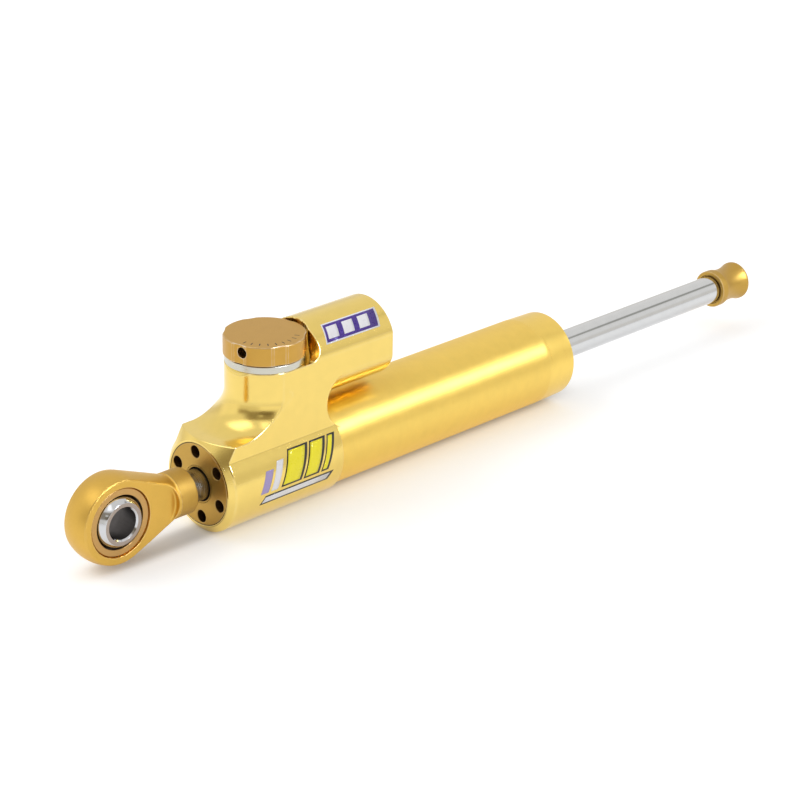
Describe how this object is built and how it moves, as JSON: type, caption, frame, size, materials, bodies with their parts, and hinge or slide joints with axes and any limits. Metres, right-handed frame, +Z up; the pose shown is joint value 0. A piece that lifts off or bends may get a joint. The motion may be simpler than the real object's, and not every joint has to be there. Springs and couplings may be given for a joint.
{
  "type": "motorcycle steering damper",
  "caption": "Linear through-rod hydraulic steering damper: gold machined barrel and valve block with side reservoir, damping knob, chromed rod and spherical-bearing rod eye.",
  "frame": {"origin": "middle of the tube's clamp land, on the rod's axis", "axes": "+X along the rod from the eye to the end cap, +Z up the knob's axis, +Y across"},
  "size_m": [0.3108, 0.032, 0.0596],
  "materials": {
    "gold_bright": "bright gold anodised, lightly polished",
    "gold_satin": "satin gold anodised, turned",
    "plain_aluminium": "bare turned aluminium",
    "chrome": "hard chrome, polished",
    "steel": "ground steel",
    "black_steel": "black oxide",
    "bronze": "turned bronze",
    "liner": "dark woven low-friction liner",
    "slide_ring": "filled low-friction plastic",
    "seal": "soft seal plastic",
    "rubber": "black rubber"
  },
  "bodies": {
    "barrel": {"valve_block": "gold_bright", "cylinder_tube": "gold_bright", "tube_o_ring": "rubber", "gallery_plug": "steel", "front_gland": "gold_satin", "front_gland_o_ring": "rubber", "front_rod_bush": "bronze", "front_rod_seal": "seal", "front_wiper": "rubber", "rear_gland": "gold_satin", "rear_gland_o_ring": "rubber", "rear_rod_bush": "bronze", "rear_rod_seal": "seal", "rear_wiper": "rubber", "index_ring": "plain_aluminium", "adjuster_cartridge": "gold_satin", "cartridge_o_ring": "rubber", "valve_seat": "bronze", "needle_guide_pin": "steel", "detent_spring": "steel", "compensator_spring": "steel", "reservoir_plug": "gold_satin", "reservoir_plug_o_ring": "rubber", "reservoir_circlip": "steel"},
    "slide_ring": {"piston_ring": "slide_ring"},
    "rod": {"piston_rod": "chrome", "piston": "plain_aluminium", "piston_o_ring": "rubber", "piston_clips": "steel", "rod_eye": "gold_satin", "bearing_race": "bronze", "end_cap": "gold_satin"},
    "liner": {"bearing_liner": "liner"},
    "ball": {"bearing_ball": "chrome"},
    "knob": {"adjuster_knob": "gold_satin", "knob_grub_screw": "black_steel", "adjuster_spindle": "steel", "spindle_o_ring": "rubber"},
    "needle": {"metering_needle": "steel"},
    "detent": {"detent_ball": "steel"},
    "compensator": {"floating_piston": "plain_aluminium", "floating_piston_o_ring": "rubber"}
  },
  "joints": [
    {"name": "rod_stroke", "type": "slide", "parent": "barrel", "child": "slide_ring", "axis": [1, 0, 0], "range_m": [-0.078, 0.003]},
    {"name": "rod_turn", "type": "hinge", "parent": "slide_ring", "child": "rod", "pos_m": [0, 0, 0], "axis": [1, 0, 0], "continuous": true},
    {"name": "ball_tilt", "type": "hinge", "parent": "rod", "child": "liner", "pos_m": [-0.1422, 0, 0], "axis": [0, 0, 1], "range_deg": [-8, 8]},
    {"name": "ball_spin", "type": "hinge", "parent": "liner", "child": "ball", "pos_m": [-0.1422, 0, 0], "axis": [0, 1, 0], "continuous": true},
    {"name": "knob_turn", "type": "hinge", "parent": "barrel", "child": "knob", "pos_m": [-0.0808, 0, 0], "axis": [0, 0, 1], "range_deg": [-150, 150]},
    {"name": "needle_slide", "type": "slide", "parent": "barrel", "child": "needle", "axis": [0, 0, 1], "range_m": [-0.00042, 0.00042]},
    {"name": "detent_press", "type": "slide", "parent": "barrel", "child": "detent", "axis": [0, 0, 1], "range_m": [-0.0005, 0], "stiffness_N_per_m": 500, "springref_m": 0.001, "deforming": ["detent_spring"]},
    {"name": "compensator_slide", "type": "slide", "parent": "barrel", "child": "compensator", "axis": [1, 0, 0], "range_m": [-0.002, 0.003], "stiffness_N_per_m": 800, "deforming": ["compensator_spring"]}
  ],
  "couplings": [
    {"joint": "needle_slide", "follows": "knob_turn", "m_per_rad": 0.00015915}
  ]
}
